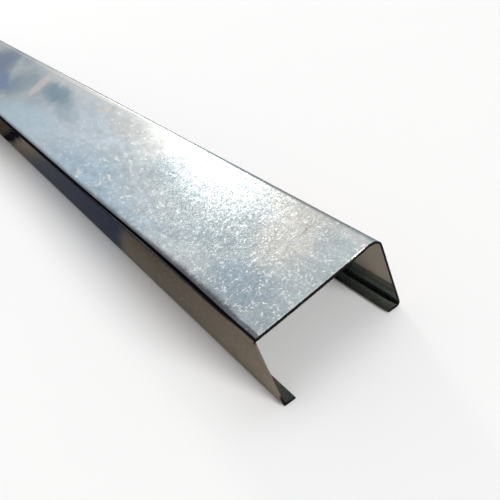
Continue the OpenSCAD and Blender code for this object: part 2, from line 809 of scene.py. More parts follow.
@dataclass(frozen=True)
class Speckle:
    """One fineness of flecks in the zinc.

    Attributes:
        scale: One over the size of a fleck.
        detail: How much finer noise is in it.
        drawn: How much longer than wide a fleck is, along the stud.
        shown: How much of it shows, by the distance from a cut end.  Two ramps are multiplied.
        edge: How strong the noise is at a fleck's edge and inside it, for flecks that stand alone.
    """

    scale: float
    detail: float
    drawn: float
    shown: tuple[Ramp, ...]
    edge: Ramp | None = None


MOTTLES: tuple[Speckle, ...] = (
    Speckle(230.0, 1.0, 2.4, (Ramp(0.05, 0.14, 0.06, 0.55), Ramp(0.20, 0.42, 1.0, 0.25))),
    Speckle(300.0, 2.0, 1.0, (Ramp(0.08, 0.30, 0.22, 0.0396),)),
    Speckle(800.0, 2.0, 1.0, (Ramp(0.05, 0.22, 0.26, 0.0208),)),
    Speckle(700.0, 3.0, 700.0 / 9.0, (Ramp(0.05, 0.22, 0.22, 0.0176),)),
)

# Painted glints: bright flecks in the zinc's colour.
GLINT_DOTS: tuple[Speckle, ...] = (
    Speckle(420.0, 1.0, 1.0, (Ramp(0.10, 0.24, 0.75, 0.15),), Ramp(0.69, 0.75)),
    Speckle(300.0, 1.0, 2.4, (Ramp(0.06, 0.12, 0.0, 0.65), Ramp(0.26, 0.38, 1.0, 0.0)), Ramp(0.67, 0.73)),
)


class SheetFields:
    """Where a shaded point lies on the sheet, as sockets of the material's graph.

    Attributes:
        g: The material's graph.
        place: Object coordinates.
        y: Across the stud.
        height: Up, from 0 at the underside of the lips to 1 at the top of the web.
        near: Distance from the cut end at +X.
        from_end: Distance along the sheet from the closest cut end.
        back: 1 on the back side, 0 on the front one.
        front: 1 on the front side, 0 on the back one.
        fold: 0 on the web, 1 past the upper bend.
        outer: 1 on the outer skin, 0 on the inner one.
        inner: 1 on the inner skin, 0 on the outer one.
        front_face: 1 on the outer skin of the front side.
        back_face: 1 on the outer skin of the back side.
        cut: 1 on the sheared edges.
        past_bend: Developed distance past where the upper bend starts.
        past_crease: Developed distance past the middle of the lower bend.
    """

    def __init__(self, g: Graph, length: float, section: StudSection) -> None:
        """Adds the nodes that the fields come from.

        Args:
            g: The material's graph.
            length: The stud's length.
            section: The stud's section.
        """
        self.g = g
        self.place = g.node("ShaderNodeTexCoord").outputs["Object"]
        x, self.y, z = g.split(self.place)
        self.height = g.math("DIVIDE", z, section.flange_depth)
        self.near = g.minus(length / 2, x)
        self.from_end, self.fold, self.cut, skin, girth = (
            g.node("ShaderNodeAttribute", attribute_name=name).outputs["Fac"]
            for name in ("run", "fold", "cut", "skin", "girth"))
        self.back = g.math("GREATER_THAN", self.y, 0.0)
        self.front = g.rest(self.back)
        self.outer = g.math("GREATER_THAN", skin, 0.0)
        self.inner = g.rest(self.outer)
        self.front_face = g.product(self.front, self.outer)
        self.back_face = g.product(self.back, self.outer)
        sides = (section.front, section.back)
        self.past_bend, self.past_crease = (
            g.minus(g.math("ABSOLUTE", girth), g.between(self.back, *(start(side) for side in sides)))
            for start in (section.bend_start, section.crease))

    def by_end(self, *ramps: Ramp) -> Socket:
        """Returns the product of what some ramps give for the distance from the closest cut end."""
        return self.g.ramp(self.from_end, *ramps)

    def summed(self, ramps: tuple[Ramp, ...]) -> Socket:
        """Returns the sum of what some ramps give for the distance from the closest cut end."""
        return self.g.sum(*(self.by_end(ramp) for ramp in ramps))

    def noise(self, scale: float, detail: float = 2.0, drawn: float = 1.0) -> Socket:
        """Adds a noise in object space.

        Args:
            scale: One over the size of its patches.
            detail: How much finer noise is in it.
            drawn: How much longer than wide its patches are, along the stud.

        Returns:
            The noise, from 0 to 1.
        """
        place = self.place
        if drawn != 1.0:
            place = self.g.vector("MULTIPLY", place, (1.0 / drawn, 1.0, 1.0))
        inputs = {"Vector": place, "Scale": scale, "Detail": detail}
        return self.g.node("ShaderNodeTexNoise", inputs).outputs[0]

    def stray(self, scale: float, size: Any, detail: float = 2.0) -> Socket:
        """Returns a noise in object space that swings about 0, of a given size from end to end."""
        return self.g.product(self.g.minus(self.noise(scale, detail), 0.5), size)

    def wander(self, scale: float, size: Any, detail: float = 2.0) -> Socket:
        """Adds a noise vector in object space that swings about 0.

        Args:
            scale: One over the size of its patches.
            size: How far it swings, from its lowest to its highest.
            detail: How much finer noise is in it.

        Returns:
            The vector.
        """
        inputs = {"Vector": self.place, "Scale": scale, "Detail": detail}
        noise = self.g.node("ShaderNodeTexNoise", inputs).outputs["Color"]
        return self.g.vector("SCALE", self.g.vector("SUBTRACT", noise, MIDDLE), size)

    def speckled(self, kind: Speckle) -> Socket:
        """Draws one kind of flecks.

        Args:
            kind: The kind.

        Returns:
            How strong the flecks are: about 0, or from 0 to 1 where they have an edge.
        """
        noise = self.noise(kind.scale, kind.detail, kind.drawn)
        swing = self.g.ramp(noise, kind.edge) if kind.edge else self.g.minus(noise, 0.5)
        return self.g.product(swing, self.by_end(*kind.shown))


@dataclass(frozen=True)
class Spangle:
    """The frosty grains of the zinc and the bright strokes in them.  Sizes are in metres.

    Attributes:
        grain: Size of a grain.
        fray_scale: How fine the waves in a grain's outline are, as a share of one over its size.
        fray: How large they are, as a share of its size.
        tilt: How far a grain on the web leans, as a share of the normal.
        plain_tilt: The same on the flanges and inside, where the skin is smoother.
        level: How much of that is left, by the distance from a cut end.
        fibre: How far apart the strokes lie.
        needles: The kinds of stroke.
        draw: A stroke's width as a share of its length.
        curl: How much a stroke bends.
        edge: How strong the noise is at a stroke's edge and inside it.
        clump_scale: How fine the clumps of strokes are, as a share of one over their spacing.
        clump: How strong the noise is between two clumps and inside one.
        stroke_tilt: How far a stroke leans.
        swirl: How fine the changes in its lean are, as a share of one over the spacing.
        calm: How much of that lean is left, by the distance from a cut end.
        roughness: Roughness of the smoothest grain.
        spread: How much rougher the roughest grain is, on the inner skin and on the outer one.
        even: How much of the spread is left, by the distance from a cut end.
    """

    grain: float = 0.85 * MM
    fray_scale: float = 0.9
    fray: float = 1.3
    tilt: float = 0.10
    plain_tilt: float = 0.015
    level: Ramp = Ramp(0.09, 0.26, 1.0, 0.1)
    fibre: float = 2.1 * MM
    needles: tuple[Needles, ...] = NEEDLES
    draw: float = 0.28
    curl: float = 0.5
    edge: Ramp = Ramp(0.630, 0.675)
    clump_scale: float = 0.45
    clump: tuple[float, float] = (0.46, 0.56)
    stroke_tilt: float = 0.18
    swirl: float = 1.6
    calm: Ramp = Ramp(0.09, 0.30, 1.0, 0.2)
    roughness: float = 0.17
    spread: tuple[float, float] = (0.042, 0.14)
    even: Ramp = Ramp(0.10, 0.24, 1.0, 0.3)


@dataclass(frozen=True)
class WebZinc:
    """The zinc on the web: bright and dull clouds, flecked all over, under painted reflections, light,
    shade, glints and highlights.

    Attributes:
        zinc: Its colour.
        dull: Its colour in the dull clouds.
        bright: The colour painted on the strokes, the bright flecks and the band past the cut edge: the
            spangle's bright needles with painted glints, and a painted highlight.
        tint: How it dims what it mirrors at a low angle.
        cloud_scale: One over the size of a cloud.
        cloud: How strong the noise is where the zinc is dull and where it isn't.
        tone_patches: The painted reflections, painted light, painted shade and painted highlight on the
            web.
        tone_patch_edge: Where a patch starts to show and shows in full, as shares of its half length and
            width.
        wander_scale: One over the size of the waves in a stain's outline.
        wander: How large those waves are.
        end_shade: How much darker the zinc is painted near a cut end, as painted shade, by the distance
            from a cut end.
        end_shade_side: How much of that shows, by the distance from the web's middle.
        light: The tone that the flecks swing about.
        shade: How much the tone swings from grain to grain, by the distance from a cut end.
        mottles: The flecks that swing the tone.
        glint_dots: Painted glints: bright flecks.
        edge_highlight: Painted highlight: how much of the bright colour shows in a band just past the dark
            rim at the cut end, by the distance from a cut end.
        strokes: How much of it shows in the strokes, the spangle's needles with painted glints.
    """

    zinc: Colour = (0.433, 0.482, 0.502)
    dull: Colour = (0.35, 0.41, 0.44)
    bright: Colour = (0.82, 0.84, 0.83)
    tint: Colour = (0.65, 0.65, 0.68)
    cloud_scale: float = 34.0
    cloud: Ramp = Ramp(0.42, 0.58)
    tone_patches: tuple[TonePatch, ...] = WEB_TONE_PATCHES
    tone_patch_edge: tuple[float, float] = (1.25, 0.35)
    wander_scale: float = 90.0
    wander: float = 12.0 * MM
    # Painted shade on the web's front half near the cut ends.
    end_shade: Ramp = Ramp(0.10, 0.05, 0.0, 0.12)
    end_shade_side: Ramp = Ramp(0.026, 0.004)
    light: float = 0.985
    shade: Ramp = Ramp(0.08, 0.30, 0.10, 0.018)
    mottles: tuple[Speckle, ...] = MOTTLES
    glint_dots: tuple[Speckle, ...] = GLINT_DOTS
    # Painted highlight in a band just past the dark rim at the cut ends.
    edge_highlight: Ramp = Ramp(2.05 * MM, 0.85 * MM, 0.0, 0.3)
    strokes: Ramp = Ramp(0.20, 0.40, 0.57, 0.08)


@dataclass(frozen=True)
class BendShading:
    """Painted shade, painted dark lines and a painted highlight along the bends.  Ramps run with the
    distance from a cut end unless told.

    Attributes:
        bend_shade: Colour of the painted shade on the outer skin as it enters an upper bend, standing in
            for a dark reflection.
        wider: How much wider that band is on the front side; the ramps are added.
        blotch_scale: One over the size of the blotches in its outline.
        blotch: How large they are; the ramps are multiplied.
        grey_starts: Where the band starts, past the bend's start.
        grey_full: Where it shows in full.
        grey_front: How much of it shows on the front side.
        grey_turn: How much of it is left round the front bend, by the fold.
        back_across: How much of the band shows on the back side, past the bend's start.
        back_turn: How much of it is left round the back bend, by the fold.
        grey_back: How much of it shows on the back side.
        grey_rough: How much rougher the skin is there.
        line: Colour of the painted dark line along the front bend, a painted reflection of dark
            surroundings.
        drift: How far the line lies back on to the web; the ramps are multiplied.
        line_inner: How much of it shows on the web's side, past the bend's start.
        line_gone: Where it has ended, past the bend's start; the ramps are added.
        line_full: Where it starts to end; the ramps are added.
        line_drift: The share of the drift that its far side takes.
        back_line: How much of the line shows on the back side.
        back_line_turn: The same by the fold; the ramps are multiplied.
        bend_highlight: Colour of the painted highlight, a pale line beside the back bend.
        cream_across: How much of it shows, past the bend's start; the ramps are multiplied.
        cream_shown: How much of it shows along the stud; the ramps are multiplied.
        sooner: Where, beside a cut end, the front flange's skin reaches farther round the bend.
        skin_starts: Where in the fold the flange's skin starts, by how much sooner it does.
        skin_full: Where the web's skin has ended.
        turning: How much painted shade darkens the front bend, by the fold; the ramps are multiplied.
        turning_sooner: How much of that is left, by how much sooner the flange's skin starts.
        turning_dim: How much darker the bend's colour is there.
        turning_dull: How much less it mirrors.
    """

    # Painted shade where the skin enters an upper bend, standing in for a dark reflection.
    bend_shade: Colour = (0.050, 0.050, 0.062)
    wider: tuple[Ramp, ...] = (Ramp(0.080, 0.150, 1.1 * MM, 0.0), Ramp(0.16, 0.24, 0.0, -0.8 * MM))
    blotch_scale: float = 150.0
    blotch: tuple[Ramp, ...] = (Ramp(0.13, 0.05), Ramp(0.010, 0.034, 1.2 * MM, 3.6 * MM))
    grey_starts: Ramp = Ramp(0.010, 0.034, -2.1 * MM, -4.8 * MM)
    grey_full: Ramp = Ramp(0.010, 0.034, -1.3 * MM, -0.9 * MM)
    grey_front: Ramp = Ramp(0.012, 0.040, 0.8084, 0.94)
    grey_turn: Ramp = Ramp(0.7, 0.3)
    back_across: Ramp = Ramp(-0.9 * MM, 1.7 * MM)
    back_turn: Ramp = Ramp(1.0, 0.9)
    grey_back: Ramp = Ramp(0.10, 0.19, 0.65, 0.0)
    grey_rough: float = 0.12
    # Painted dark reflection along the front bend, with a faint match on the back.
    line: Colour = (0.007, 0.006, 0.007)
    drift: tuple[Ramp, ...] = (Ramp(0.015, 0.075, 0.0, 0.75 * MM), Ramp(0.10, 0.22, 1.0, 0.0))
    line_inner: Ramp = Ramp(-0.95 * MM, -0.4 * MM)
    line_gone: tuple[Ramp, ...] = (
        Ramp(0.07, 0.12, 1.45 * MM, 1.15 * MM), Ramp(0.008, 0.034, -0.55 * MM, 0.0))
    line_full: tuple[Ramp, ...] = (
        Ramp(0.07, 0.12, 0.35 * MM, -0.1 * MM), Ramp(0.008, 0.034, -0.2 * MM, 0.0))
    line_drift: float = 0.5
    back_line: Ramp = Ramp(0.28, 0.36, 0.0, 0.55)
    back_line_turn: tuple[Ramp, ...] = (Ramp(0.1, 0.5), Ramp(1.0, 0.8))
    # Painted highlight beside the back bend.
    bend_highlight: Colour = (0.84, 0.80, 0.70)
    cream_across: tuple[Ramp, ...] = (Ramp(-3.4 * MM, -1.6 * MM), Ramp(0.2 * MM, -0.5 * MM))
    cream_shown: tuple[Ramp, ...] = (Ramp(0.24, 0.32), Ramp(0.40, 0.55, 0.6, 0.25))
    sooner: Ramp = Ramp(0.034, 0.008)
    skin_starts: Ramp = Ramp(0.0, 1.0, 0.45, 0.12)
    skin_full: Ramp = Ramp(0.0, 1.0, 0.8, 0.4)
    # Painted shade on the front bend.
    turning: tuple[Ramp, ...] = (Ramp(0.30, 0.50), Ramp(1.0, 0.72))
    turning_sooner: Ramp = Ramp(0.0, 1.0, 1.0, 0.55)
    turning_dim: float = 0.68
    turning_dull: float = 0.8


@dataclass(frozen=True)
class FlangeShading:
    """The flanges' colours: a warm painted reflection near the cut ends, the zinc darkened by painted
    shade past it, and painted light and shade.

    Attributes:
        warm_reflection: Colour of the outer skin under the warm painted reflection.
        inner_warm_reflection: Colour of the inner skin under it.
        dark_zinc: Colour past it: the zinc, darkened by painted shade.
        warm_reflection_tint: How the warm painted reflection dims what the flange mirrors at a low angle.
        dark_zinc_tint: The same past it.
        reflection_reach: How far from a cut end the warm painted reflection goes, at the top and at the
            bottom of a flange.
        reflection_stray: How far its edge strays.
        reflection_scale: One over the size of the waves in that edge.
        reflection_edge: Where its edge starts and ends, about its reach.
        low_light: How much paler the front flange is painted at its bottom under the warm painted
            reflection, as painted light.
        top_light: The same at its top, where it is darker, as painted shade.
        light_span: The heights between which that changes.
        dark_zinc_light: How much paler the front flange is painted past the warm painted reflection, as
            painted light, by the height, changing evenly.
        bands: The slanted bands across the front flange.
        band_slope: How far a band moves along the flange for each unit that it comes down.
        band_pivot: The height at which a band's places are told.
        band_scale: One over the size of the waves in its outline.
        band_stray: How far its outline strays.
        band_fold: How much of a band shows, by the fold.
        shelf: Colour of the back lip and of the bottom of its flange, on the inside: paler than the zinc,
            as painted light.
        front_shelf: The same for the front lip, at the cut end, darker there as painted shade.
        front_shelf_far: The same farther in, paler as painted light.
        shelf_height: How much of that colour shows, by the height.
        shelf_change: How much of the farther colour shows, by the distance from a cut end.
        dark_band: How much of the painted shade above the back lip shows, on the inside, by the height;
            the ramps are multiplied.
        shade: How much the tone swings from grain to grain.
    """

    # Painted reflection and shade: warm near the cut ends, and the flange's zinc darkened past them.
    warm_reflection: Colour = (0.338, 0.300, 0.270)
    inner_warm_reflection: Colour = (0.36, 0.31, 0.245)
    dark_zinc: Colour = (0.26, 0.275, 0.31)
    warm_reflection_tint: Colour = (0.35, 0.32, 0.28)
    dark_zinc_tint: Colour = (0.06, 0.07, 0.10)
    reflection_reach: tuple[float, float] = (0.135, 0.19)
    reflection_stray: float = 0.03
    reflection_scale: float = 14.0
    reflection_edge: tuple[float, float] = (-10.0 * MM, 12.0 * MM)
    # Painted light towards the bottom of the front flange, painted shade towards its top.
    low_light: Ramp = Ramp(0.02, 0.13, 1.30, 1.13)
    top_light: Ramp = Ramp(0.02, 0.13, 0.98, 0.70)
    light_span: tuple[float, float] = (0.18, 0.93)
    dark_zinc_light: Ramp = Ramp(0.15, 0.50, 1.3, 1.1)
    bands: tuple[Band, ...] = FRONT_BANDS
    band_slope: float = 2.86
    band_pivot: float = 0.82
    band_scale: float = 24.0
    band_stray: float = 24.0 * MM
    band_fold: Ramp = Ramp(0.9, 1.0)
    # Painted light on the lips and on the inner bottoms of the flanges, darker at the front lip's cut end
    # as painted shade.
    shelf: Colour = (0.62, 0.70, 0.67)
    front_shelf: Colour = (0.30, 0.30, 0.27)
    front_shelf_far: Colour = (0.60, 0.50, 0.35)
    shelf_height: Ramp = Ramp(0.10, 0.22, 1.0, 0.0)
    shelf_change: Ramp = Ramp(0.002, 0.012)
    # Painted shade in a band above the back lip, on the inside.
    dark_band: tuple[Ramp, ...] = (Ramp(0.262, 0.300), Ramp(0.348, 0.322, 0.0, 0.72))
    shade: float = 0.08


@dataclass(frozen=True)
class ShearedEdges:
    """The sheared edges and the rim past them, darkened almost to black as painted shade, and the painted
    shade in the crease inside the lower bends.

    Attributes:
        cut_steel_and_shade: Colour of the sheared edges and of the crease: the cut edge's own dark colour,
            darkened almost to black as painted shade.
        front_steel: Colour of the front flange's cut edge between its bends, where the painted shade is
            lighter and warm, like the warm painted reflection beside it.
        front_span: How much of that colour shows, by the height; the ramps are multiplied.
        rag_scale: One over the size of the rag in the dark rim's edge.
        rag: How large that rag is.
        burr_and_shade: How far the dark rim laps over the zinc on the web: a burred rim, widened by
            painted shade.
        wall_burr: The same on the flanges.
        front_burr: The same on the outer skin of the front flange.
        burr_fold: Between which folds the one gives way to the other.
        burr_edge: How much of the dark rim shows, past its edge.
        roughness: Roughness of the sheared edges.
        crease_above: How much of the painted shade in the crease shows above the lower bend's middle.
        crease_below: The same below it.
        crease_narrower: How much narrower the crease is below, by the distance from a cut end.
        crease_dark: How much of the crease shows in its middle.
    """

    # Near-black painted shade on the cut edges and their rim, and in the crease.
    cut_steel_and_shade: Colour = (0.012, 0.010, 0.010)
    front_steel: Colour = (0.17, 0.145, 0.12)
    front_span: tuple[Ramp, ...] = (Ramp(0.12, 0.2), Ramp(0.99, 0.93))
    rag_scale: float = 900.0
    rag: float = 0.5 * MM
    burr_and_shade: float = 0.85 * MM
    wall_burr: float = 0.35 * MM
    front_burr: float = 0.105 * MM
    burr_fold: tuple[float, float] = (0.3, 0.9)
    burr_edge: Ramp = Ramp(0.15 * MM, -0.15 * MM)
    roughness: float = 0.6
    # Painted shade in the crease inside the lower bends.
    crease_above: Ramp = Ramp(-2.0 * MM, -0.5 * MM)
    crease_below: Ramp = Ramp(2.25 * MM, 1.25 * MM)
    crease_narrower: Ramp = Ramp(0.0, 0.008, 0.8 * MM, 0.0)
    crease_dark: float = 0.95


@dataclass(frozen=True)
class GalvanisedFinish:
    """Hot-dip galvanised sheet, cold-rolled and sheared.

    Attributes:
        spangle: The zinc's grains and strokes.
        web: The zinc on the web.
        bends: The painted shade, painted dark lines and painted highlight along the bends.
        flanges: The flanges' zinc, under painted reflections, painted light and painted shade.
        edges: The sheared edges, darkened as painted shade.
    """

    spangle: Spangle = Spangle()
    web: WebZinc = WebZinc()
    bends: BendShading = BendShading()
    flanges: FlangeShading = FlangeShading()
    edges: ShearedEdges = ShearedEdges()


class GalvanisedMaterial:
    """The shader graph of one galvanised finish.

    Attributes:
        finish: The finish.
        depth: The flanges' depth.
        made: The material.
        g: Its graph.
        at: Where a shaded point lies.
        cells: Three random numbers from 0 to 1 for each grain, as a vector.
        strokes: 1 on a bright stroke in the zinc, 0 off it.
        in_warm_reflection: 1 under the flanges' warm painted reflection, 0 past it.
        shares: How much of each slanted band shows.
        sooner: How much sooner the front flange's skin starts.
        on_flange: 0 on the web's skin, 1 on the flange's.
        turning: How much painted shade darkens the front bend.
        bend_shade_share: How much painted shade lies on the outer skin as it enters an upper bend.
        line: 1 in the painted dark line along a bend, 0 off it.
    """

    def __init__(self, name: str, finish: GalvanisedFinish, length: float, section: StudSection) -> None:
        """Builds the material.

        Args:
            name: The material's name.
            finish: The finish.
            length: The stud's length.
            section: The stud's section.
        """
        self.finish = finish
        self.depth = section.flange_depth
        self.made = bpy.data.materials.new(name)
        self.made.use_nodes = True
        g = self.g = Graph(self.made.node_tree)
        at = self.at = SheetFields(g, length, section)
        bends = finish.bends
        self.cells = self.grains()
        self.strokes = self.drawn_strokes()
        self.in_warm_reflection = self.warm_reflection_cover()
        self.shares = [self.band_share(band) for band in finish.flanges.bands]
        self.sooner = g.product(at.by_end(bends.sooner), at.front)
        self.on_flange = g.remap(at.fold, g.ramp(self.sooner, bends.skin_starts),
                                 g.ramp(self.sooner, bends.skin_full))
        self.turning = g.product(g.ramp(at.fold, *bends.turning), at.front_face,
                                 g.ramp(self.sooner, bends.turning_sooner))
        self.bend_shade_share = self.bend_shade_band()
        self.line = self.dark_bend_line()
        shader = g.node("ShaderNodeBsdfPrincipled", {
            "Base Color": self.colour(), "Metallic": self.metal(), "Roughness": self.roughness(),
            "Normal": self.normal(), "Specular Tint": self.tint(), "Specular IOR Level": 0.0})
        g.node("ShaderNodeOutputMaterial", {"Surface": shader.outputs[0]})

    def grains(self) -> Socket:
        """Breaks the zinc into grains with frayed outlines.

        Returns:
            Three random numbers for each grain.
        """
        size, at = self.finish.spangle, self.at
        shift = at.wander(size.fray_scale / size.grain, size.fray * size.grain)
        return self.g.node("ShaderNodeTexVoronoi", {"Vector": self.g.vector("ADD", at.place, shift),
                                                    "Scale": 1.0 / size.grain}).outputs["Color"]

    def drawn_strokes(self) -> Socket:
        """Draws the bright strokes in the zinc: short needles that lie in a few directions, in clumps.

        Returns:
            1 on a stroke, 0 off it.
        """
        g, at, size = self.g, self.at, self.finish.spangle
        clumps = at.noise(size.clump_scale / size.fibre, detail=3.0)
        strokes: Any = 0.0
        for kind in size.needles:
            inputs = {"Vector": at.place, "Angle": math.radians(kind.turn)}
            turned = g.node("ShaderNodeVectorRotate", inputs, rotation_type="Z_AXIS").outputs[0]
            drawn = g.vector("MULTIPLY", turned, (size.draw, 1.0, 1.0))
            noise = g.node("ShaderNodeTexNoise", {"Vector": drawn, "Scale": kind.closeness / size.fibre,
                                                  "Detail": 1.0, "Distortion": size.curl}).outputs[0]
            needle = g.product(g.ramp(noise, size.edge), g.remap(clumps, *size.clump, kind.floor, 1.0),
                               at.by_end(kind.shown))
            strokes = g.most(strokes, needle)
        return strokes

    def warm_reflection_cover(self) -> Socket:
        """Tells where the warm painted reflection lies on the flanges: near the cut ends, up to a ragged
        slanted line.

        Returns:
            1 under the warm painted reflection, 0 past it.
        """
        g, at, size = self.g, self.at, self.finish.flanges
        top, bottom = size.reflection_reach
        slant = g.product(g.rest(at.height), bottom - top)
        along = g.sum(g.minus(at.from_end, slant), at.stray(size.reflection_scale, size.reflection_stray, detail=3.0))
        return g.ramp(along, Ramp(top + size.reflection_edge[0], top + size.reflection_edge[1], 1.0, 0.0))

    def band_share(self, band: Band) -> Socket:
        """Tells how much of a slanted band shows.

        Args:
            band: The band.

        Returns:
            From 0 off the band to 1 in its middle.
        """
        g, at, size = self.g, self.at, self.finish.flanges
        slanted = g.product(g.minus(at.height, size.band_pivot), size.band_slope * self.depth)
        along = g.sum(at.near, slanted, at.stray(size.band_scale, size.band_stray, detail=0.0))
        shown = g.ramp(along, Ramp(band.begins, band.full_from), Ramp(band.ends, band.full_to))
        return g.product(shown, at.front_face, g.ramp(at.fold, size.band_fold))

    def bend_shade_band(self) -> Socket:
        """Tells how much painted shade lies on the outer skin as it enters an upper bend.

        Returns:
            From 0 on the zinc to almost 1 at the bend.
        """
        g, at, size = self.g, self.at, self.finish.bends
        blotch = at.stray(size.blotch_scale, at.by_end(*size.blotch))
        across = g.sum(at.past_bend, at.summed(size.wider), blotch)
        on_web = g.remap(across, at.by_end(size.grey_starts), at.by_end(size.grey_full))
        front = g.product(on_web, g.ramp(at.fold, size.grey_turn), at.front, at.by_end(size.grey_front))
        back = g.product(g.ramp(at.past_bend, size.back_across), g.ramp(at.fold, size.back_turn), at.back,
                         at.by_end(size.grey_back))
        return g.product(g.sum(front, back), at.outer)

    def dark_bend_line(self) -> Socket:
        """Tells where the painted dark line lies along the front bend, a painted reflection, and its faint
        match on the back.

        Returns:
            1 in the line, 0 off it.
        """
        g, at, size = self.g, self.at, self.finish.bends
        drift = at.by_end(*size.drift)
        inner_side = g.ramp(g.sum(at.past_bend, drift), size.line_inner)
        outer_side = g.remap(g.sum(at.past_bend, g.product(drift, size.line_drift)),
                             at.summed(size.line_gone), at.summed(size.line_full))
        back = g.product(g.ramp(at.fold, *size.back_line_turn), at.back_face, at.by_end(size.back_line))
        return g.most(g.product(inner_side, outer_side, at.front_face), back)

    def colour(self) -> Socket:
        """Lays the sheet's colours over one another, from the zinc to the sheared edge.

        Returns:
            The colour.
        """
        g, at, bends, edges = self.g, self.at, self.finish.bends, self.finish.edges
        shade = g.split(self.cells)[0]
        sheet = g.mix(self.on_flange, self.web_colour(shade), self.flange_colour(shade))
        # Painted shade on the front bend.
        dimmed = g.vector("SCALE", sheet, g.rest(g.product(self.turning, bends.turning_dim)))
        # Painted shade as the skin enters the upper bends, under the painted dark line along them.
        lined = g.mix(self.line, g.mix(self.bend_shade_share, dimmed, bends.bend_shade), bends.line)
        # Painted highlight: a pale line beside the back bend.
        pale = g.product(g.ramp(at.past_bend, *bends.cream_across), at.back_face,
                         at.by_end(*bends.cream_shown))
        # Painted shade in the crease inside the lower bends.
        below = g.sum(at.past_crease, at.by_end(edges.crease_narrower))
        crease = g.product(g.ramp(at.past_crease, edges.crease_above), g.ramp(below, edges.crease_below),
                           at.inner, edges.crease_dark)
        on_wall = g.product(g.ramp(at.height, *edges.front_span), at.front)
        creased = g.mix(crease, g.mix(pale, lined, bends.bend_highlight), edges.cut_steel_and_shade)
        # The sheared edges and their rim darkened almost to black as painted shade, less dark and warm on
        # the front flange's cut edge.
        return g.mix(self.rim(), creased, g.mix(on_wall, edges.cut_steel_and_shade, edges.front_steel))

    def rim(self) -> Socket:
        """Tells where the sheared edge and the dark rim past it are, both darkened as painted shade.

        Returns:
            1 on the edge and its dark rim, 0 on the zinc.
        """
        g, at, size = self.g, self.at, self.finish.edges
        ragged = g.sum(at.from_end, at.stray(size.rag_scale, size.rag))
        wall = g.between(at.front_face, size.wall_burr, size.front_burr)
        reach = g.remap(at.fold, *size.burr_fold, size.burr_and_shade, wall)
        return g.most(at.cut, g.ramp(g.minus(ragged, reach), size.burr_edge))

    def web_colour(self, shade: Socket) -> Socket:
        """Makes the web's zinc: bright and dull clouds and painted patches of reflection, light and shade,
        broken into grains.

        Args:
            shade: A random number for each grain.

        Returns:
            The colour.
        """
        g, at, size = self.g, self.at, self.finish.web
        base = g.mix(g.ramp(at.noise(size.cloud_scale, detail=5.0), size.cloud), size.dull, size.zinc)
        wander = g.split(at.wander(size.wander_scale, size.wander, detail=4.0))
        along, across = g.sum(at.near, wander[0]), g.sum(at.y, wander[1])
        # Lays the painted reflections, light, shade and highlight over the zinc.
        for tone_patch in size.tone_patches:
            base = g.mix(self.cover(along, across, tone_patch), base, tone_patch.colour)
        # Painted shade: the web's front half darker near the cut ends.
        end_shade = g.product(at.by_end(size.end_shade), g.ramp(at.y, size.end_shade_side))
        tone = g.sum(size.light, g.product(g.minus(shade, 0.5), at.by_end(size.shade)),
                     *(at.speckled(kind) for kind in size.mottles))
        toned = g.vector("SCALE", base, g.product(g.rest(end_shade), tone))
        # Painted glints on the strokes and flecks, and a painted highlight past the cut edge.
        bright = g.most(g.product(self.strokes, at.by_end(size.strokes)), at.by_end(size.edge_highlight),
                        *(at.speckled(kind) for kind in size.glint_dots))
        return g.mix(bright, toned, size.bright)

    def cover(self, from_end: Socket, across: Socket, tone_patch: TonePatch) -> Socket:
        """Tells how much of one painted patch shows.

        Args:
            from_end: The distance from the cut end at +X.
            across: The distance from the web's centre line.
            tone_patch: The patch.

        Returns:
            From 0 outside the patch to its strength in the middle.
        """
        g, turn = self.g, math.radians(tone_patch.slant)
        along, aside = g.minus(from_end, tone_patch.from_end), g.minus(across, tone_patch.across)
        u = g.sum(g.product(along, math.cos(turn)), g.product(aside, math.sin(turn)))
        v = g.minus(g.product(aside, math.cos(turn)), g.product(along, math.sin(turn)))
        far = g.vector("LENGTH", g.combine(g.math("DIVIDE", u, tone_patch.half_length),
                                           g.math("DIVIDE", v, tone_patch.half_width)))
        return g.remap(far, *self.finish.web.tone_patch_edge, 0.0, tone_patch.strength)

    def shaded(self, base: Socket) -> Socket:
        """Makes the front flange paler towards its bottom with painted light, and darker at its top under
        the warm painted reflection with painted shade.

        Args:
            base: The flange's colour or tint.

        Returns:
            The shaded colour or tint.
        """
        g, at, size = self.g, self.at, self.finish.flanges
        # Painted light towards the bottom of the front flange, painted shade towards its top.
        warm_reflection = g.remap(at.height, *size.light_span, at.by_end(size.low_light),
                       at.by_end(size.top_light), "LINEAR")
        past = size.dark_zinc_light
        dark_zinc = g.remap(at.height, past.start, past.end, past.before, past.after, "LINEAR")
        factor = g.sum(g.product(warm_reflection, self.in_warm_reflection), g.product(dark_zinc, g.rest(self.in_warm_reflection)))
        return g.mix(at.front_face, base, g.vector("SCALE", base, factor))

    def banded(self, base: Socket, colours: list[Colour]) -> Socket:
        """Lays the slanted bands over the front flange's outer skin.

        Args:
            base: The flange's colour or tint.
            colours: The bands' colours or tints.

        Returns:
            The banded colour or tint.
        """
        for share, colour in zip(self.shares, colours):
            base = self.g.mix(share, base, colour)
        return base

    def flange_colour(self, shade: Socket) -> Socket:
        """Makes the flanges' colour: the zinc darkened by painted shade, with a warm painted reflection
        near the cut ends.

        Args:
            shade: A random number for each grain.

        Returns:
            The colour.
        """
        g, at, size = self.g, self.at, self.finish.flanges
        # A warm painted reflection near the cut ends; past it, the zinc darkened by painted shade.
        plain = g.mix(self.in_warm_reflection, size.dark_zinc, g.mix(at.inner, size.warm_reflection, size.inner_warm_reflection))
        base = self.banded(self.shaded(plain), [band.colour for band in size.bands])
